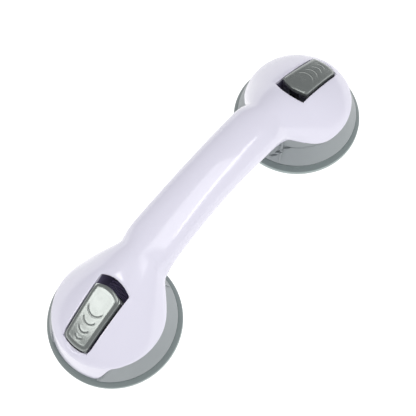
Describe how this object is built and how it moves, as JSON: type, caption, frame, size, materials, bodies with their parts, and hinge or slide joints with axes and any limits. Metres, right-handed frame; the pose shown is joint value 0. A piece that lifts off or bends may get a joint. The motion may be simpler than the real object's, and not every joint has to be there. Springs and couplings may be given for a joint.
{
  "type": "suction grab bar",
  "caption": "Curved white grip between two round heads, each clamped to a smooth wall by a rubber suction cup that a flip-up cam lever pulls tight.",
  "frame": {"origin": "bottom centre: on the wall plane, midway between the two heads", "axes": "+X along the bar towards the right head, +Z away from the wall, +Y across the bar"},
  "size_m": [0.29, 0.092, 0.072],
  "materials": {
    "white_shell": "gloss",
    "grey_lever": "gloss",
    "grey_collar": "satin",
    "rubber": "satin",
    "stud_plastic": "satin",
    "steel": "brushed"
  },
  "bodies": {
    "handle": {"handle_shell": "white_shell", "grip_cover": "white_shell", "grip_screw_1": "steel", "grip_screw_2": "steel", "grip_screw_3": "steel", "grip_screw_4": "steel", "left_suction_cup": "rubber", "left_collar": "grey_collar", "left_cam_washer": "steel", "left_release_spring": "steel", "left_collar_screw_1": "steel", "left_collar_screw_2": "steel", "left_collar_screw_3": "steel", "left_collar_screw_4": "steel", "right_suction_cup": "rubber", "right_collar": "grey_collar", "right_cam_washer": "steel", "right_release_spring": "steel", "right_collar_screw_1": "steel", "right_collar_screw_2": "steel", "right_collar_screw_3": "steel", "right_collar_screw_4": "steel"},
    "left_stud": {"left_cup_stud": "stud_plastic", "left_pivot_pin": "steel"},
    "left_lever": {"left_lever": "grey_lever"},
    "right_stud": {"right_cup_stud": "stud_plastic", "right_pivot_pin": "steel"},
    "right_lever": {"right_lever": "grey_lever"}
  },
  "joints": [
    {"name": "left_stud_slide", "type": "slide", "parent": "handle", "child": "left_stud", "axis": [0, 0, -1], "range_m": [0, 0.003], "deforming": ["left_suction_cup", "left_release_spring"]},
    {"name": "left_lever_hinge", "type": "hinge", "parent": "left_stud", "child": "left_lever", "pos_m": [-0.099, 0, 0.04], "axis": [0, 1, 0], "range_deg": [0, 90]},
    {"name": "right_stud_slide", "type": "slide", "parent": "handle", "child": "right_stud", "axis": [0, 0, -1], "range_m": [0, 0.003], "deforming": ["right_suction_cup", "right_release_spring"]},
    {"name": "right_lever_hinge", "type": "hinge", "parent": "right_stud", "child": "right_lever", "pos_m": [0.099, 0, 0.04], "axis": [0, -1, 0], "range_deg": [0, 90]}
  ],
  "couplings": [
    {"joint": "left_stud_slide", "follows": "left_lever_hinge", "m_per_rad": 0.0019},
    {"joint": "right_stud_slide", "follows": "right_lever_hinge", "m_per_rad": 0.0019}
  ]
}
